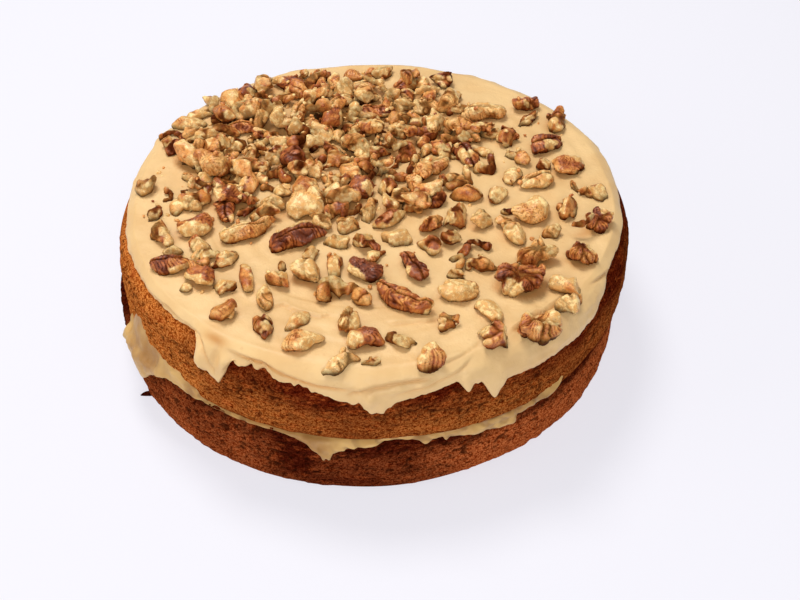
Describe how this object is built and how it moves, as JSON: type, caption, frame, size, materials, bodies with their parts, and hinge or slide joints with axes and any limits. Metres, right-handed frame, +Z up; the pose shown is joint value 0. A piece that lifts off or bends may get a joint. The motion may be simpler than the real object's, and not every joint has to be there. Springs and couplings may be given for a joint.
{
  "type": "coffee and walnut cake",
  "caption": "Round two-layer coffee sponge cake, filled and topped with pale coffee buttercream that drips over the edge, strewn with broken walnuts.",
  "frame": {"origin": "middle of the flat base, on the surface that the cake stands on", "axes": "+Z up through the layers, -Y towards the front with the long drips"},
  "size_m": [0.2337, 0.2335, 0.0781],
  "materials": {
    "sponge_lower": "dark coffee sponge crumb with a baked wall, matte",
    "sponge_upper": "orange-brown coffee sponge crumb, matte",
    "buttercream": "pale coffee buttercream, smooth satin with knife marks",
    "walnut_pale": "walnut kernel, pale straw skin over cream flesh, dry with a slight oil sheen",
    "walnut_tan": "walnut kernel, tan skin over cream flesh, dry with a slight oil sheen",
    "walnut_brown": "walnut kernel, brown skin over cream flesh, dry with a slight oil sheen",
    "walnut_dark": "walnut kernel, dark brown skin over cream flesh, dry with a slight oil sheen"
  },
  "bodies": {
    "root": {"filling": "buttercream", "icing": "buttercream", "sponge_lower": "sponge_lower", "sponge_upper": "sponge_upper", "walnut_chunk_brown_31": "walnut_brown", "walnut_chunk_brown_38": "walnut_brown", "walnut_chunk_brown_45": "walnut_brown", "walnut_chunk_brown_47": "walnut_brown", "walnut_chunk_brown_50": "walnut_brown", "walnut_chunk_brown_55": "walnut_brown", "walnut_chunk_brown_56": "walnut_brown", "walnut_chunk_dark_40": "walnut_dark", "walnut_chunk_dark_41": "walnut_dark", "walnut_chunk_dark_44": "walnut_dark", "walnut_chunk_pale_20": "walnut_pale", "walnut_chunk_pale_33": "walnut_pale", "walnut_chunk_pale_43": "walnut_pale", "walnut_chunk_pale_46": "walnut_pale", "walnut_chunk_pale_49": "walnut_pale", "walnut_chunk_tan_35": "walnut_tan", "walnut_chunk_tan_39": "walnut_tan", "walnut_chunk_tan_48": "walnut_tan", "walnut_chunk_tan_52": "walnut_tan", "walnut_chunk_tan_53": "walnut_tan", "walnut_chunk_tan_54": "walnut_tan", "walnut_curl_dark_37": "walnut_dark", "walnut_curl_tan_02": "walnut_tan", "walnut_curl_tan_30": "walnut_tan", "walnut_half_brown_01": "walnut_brown", "walnut_half_brown_03": "walnut_brown", "walnut_half_brown_07": "walnut_brown", "walnut_half_brown_14": "walnut_brown", "walnut_half_brown_17": "walnut_brown", "walnut_half_brown_28": "walnut_brown", "walnut_half_brown_32": "walnut_brown", "walnut_half_dark_04": "walnut_dark", "walnut_half_dark_12": "walnut_dark", "walnut_half_dark_16": "walnut_dark", "walnut_half_dark_18": "walnut_dark", "walnut_half_dark_21": "walnut_dark", "walnut_half_dark_23": "walnut_dark", "walnut_half_dark_24": "walnut_dark", "walnut_half_dark_27": "walnut_dark", "walnut_half_dark_34": "walnut_dark", "walnut_half_dark_42": "walnut_dark", "walnut_half_pale_08": "walnut_pale", "walnut_half_pale_11": "walnut_pale", "walnut_half_pale_13": "walnut_pale", "walnut_half_pale_26": "walnut_pale", "walnut_half_tan_05": "walnut_tan", "walnut_half_tan_06": "walnut_tan", "walnut_half_tan_09": "walnut_tan", "walnut_half_tan_10": "walnut_tan", "walnut_half_tan_15": "walnut_tan", "walnut_half_tan_22": "walnut_tan", "walnut_half_tan_25": "walnut_tan", "walnut_half_tan_29": "walnut_tan", "walnut_shard_pale_19": "walnut_pale", "walnut_shard_pale_51": "walnut_pale", "walnut_shard_tan_36": "walnut_tan"}
  },
  "joints": []
}
